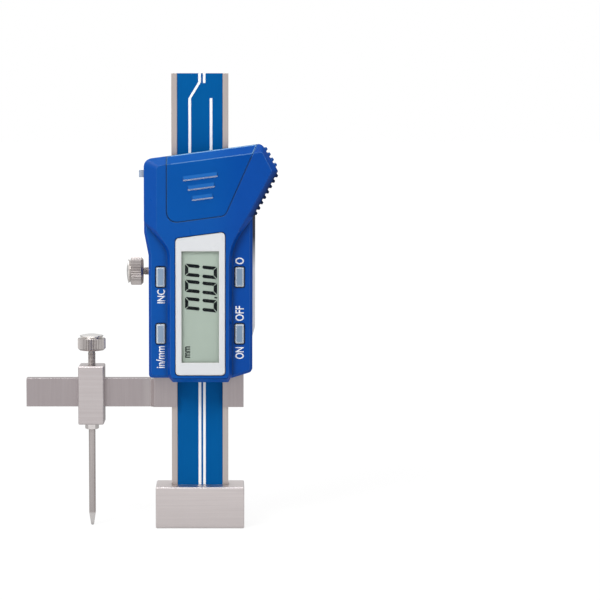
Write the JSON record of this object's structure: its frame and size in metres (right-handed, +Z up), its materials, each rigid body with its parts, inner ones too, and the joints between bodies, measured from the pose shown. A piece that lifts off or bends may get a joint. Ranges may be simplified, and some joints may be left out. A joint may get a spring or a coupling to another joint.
{
  "type": "digital height gauge",
  "caption": "Small digital height gauge: flat base block, upright beam, sliding display head and a clamped scriber needle on a side arm.",
  "frame": {"origin": "centre of the base block's flat rest face", "axes": "+Z up along the beam, +Y to the back, +X to the right seen from the display side; the arm points to -X"},
  "size_m": [0.0709, 0.0184, 0.128],
  "materials": {
    "ground_steel": "finely brushed",
    "beam_steel": "ground",
    "frame_steel": "brushed",
    "screw_steel": "turned and nickel plated",
    "fastener_steel": "zinc plated",
    "brass": "machined",
    "scale_laminate": "glass-epoxy laminate",
    "label_film": "printed film",
    "cover_plastic": "fine moulded grain",
    "bezel_plastic": "smooth",
    "lens_clear": "clear acrylic",
    "display_glass": "reflective liquid crystal panel",
    "button_plastic": "satin",
    "dark_rubber": "matt",
    "switch_plastic": "matt",
    "board_laminate": "solder mask",
    "cell_steel": "nickel plated",
    "spring_metal": "phosphor bronze"
  },
  "bodies": {
    "base": {"base_block": "ground_steel", "beam": "beam_steel", "scale_strip": "scale_laminate", "scale_label": "label_film", "base_screws": "fastener_steel", "stop_screw": "fastener_steel"},
    "slider": {"slider_frame": "frame_steel", "gib_strip": "brass", "gib_screws": "fastener_steel", "cover": "cover_plastic", "cover_screws": "fastener_steel", "display_bezel": "bezel_plastic", "display_lens": "lens_clear", "display_panel": "display_glass", "contact_rubbers": "dark_rubber", "circuit_board": "board_laminate", "key_switches": "switch_plastic", "side_switch": "switch_plastic", "battery_cell": "cell_steel", "battery_plus_contact": "spring_metal", "battery_minus_contact": "spring_metal"},
    "lid": {"battery_lid": "cover_plastic"},
    "mode_key": {"mode_button": "button_plastic"},
    "units_key": {"units_button": "button_plastic"},
    "zero_key": {"zero_button": "button_plastic"},
    "power_key": {"power_button": "button_plastic"},
    "side_key": {"side_button": "button_plastic"},
    "lock_tip": {"lock_slug": "brass"},
    "lock": {"lock_screw": "screw_steel"},
    "carrier": {"carrier_block": "ground_steel", "scriber_needle": "beam_steel", "needle_nut": "screw_steel"},
    "clamp_tip": {"clamp_slug": "brass"},
    "clamp": {"clamp_screw": "screw_steel"}
  },
  "joints": [
    {"name": "slider_height", "type": "slide", "parent": "base", "child": "slider", "axis": [0, 0, 1], "range_m": [-0.022, 0.0172]},
    {"name": "lid_slide", "type": "slide", "parent": "slider", "child": "lid", "axis": [0, 0, 1], "range_m": [0, 0.022]},
    {"name": "mode_press", "type": "slide", "parent": "slider", "child": "mode_key", "axis": [0, 1, 0], "range_m": [0, 0.0005], "stiffness_N_per_m": 1500},
    {"name": "units_press", "type": "slide", "parent": "slider", "child": "units_key", "axis": [0, 1, 0], "range_m": [0, 0.0005], "stiffness_N_per_m": 1500},
    {"name": "zero_press", "type": "slide", "parent": "slider", "child": "zero_key", "axis": [0, 1, 0], "range_m": [0, 0.0005], "stiffness_N_per_m": 1500},
    {"name": "power_press", "type": "slide", "parent": "slider", "child": "power_key", "axis": [0, 1, 0], "range_m": [0, 0.0005], "stiffness_N_per_m": 1500},
    {"name": "side_press", "type": "slide", "parent": "slider", "child": "side_key", "axis": [1, 0, 0], "range_m": [0, 0.0006], "stiffness_N_per_m": 1200},
    {"name": "lock_travel", "type": "slide", "parent": "slider", "child": "lock_tip", "axis": [-1, 0, 0], "range_m": [0, 0.0012]},
    {"name": "lock_turn", "type": "hinge", "parent": "lock_tip", "child": "lock", "pos_m": [-0.016, 0, 0.0725], "axis": [-1, 0, 0], "range_deg": [0, 1082]},
    {"name": "carrier_slide", "type": "slide", "parent": "slider", "child": "carrier", "axis": [1, 0, 0], "range_m": [-0.0145, 0.012]},
    {"name": "clamp_travel", "type": "slide", "parent": "carrier", "child": "clamp_tip", "axis": [0, 0, 1], "range_m": [0, 0.0008]},
    {"name": "clamp_turn", "type": "hinge", "parent": "clamp_tip", "child": "clamp", "pos_m": [-0.0307, -0.0002, 0.05], "axis": [0, 0, 1], "range_deg": [0, 722]}
  ],
  "couplings": [
    {"joint": "lock_turn", "follows": "lock_travel", "rad_per_m": 15708},
    {"joint": "clamp_turn", "follows": "clamp_travel", "rad_per_m": 15708}
  ]
}
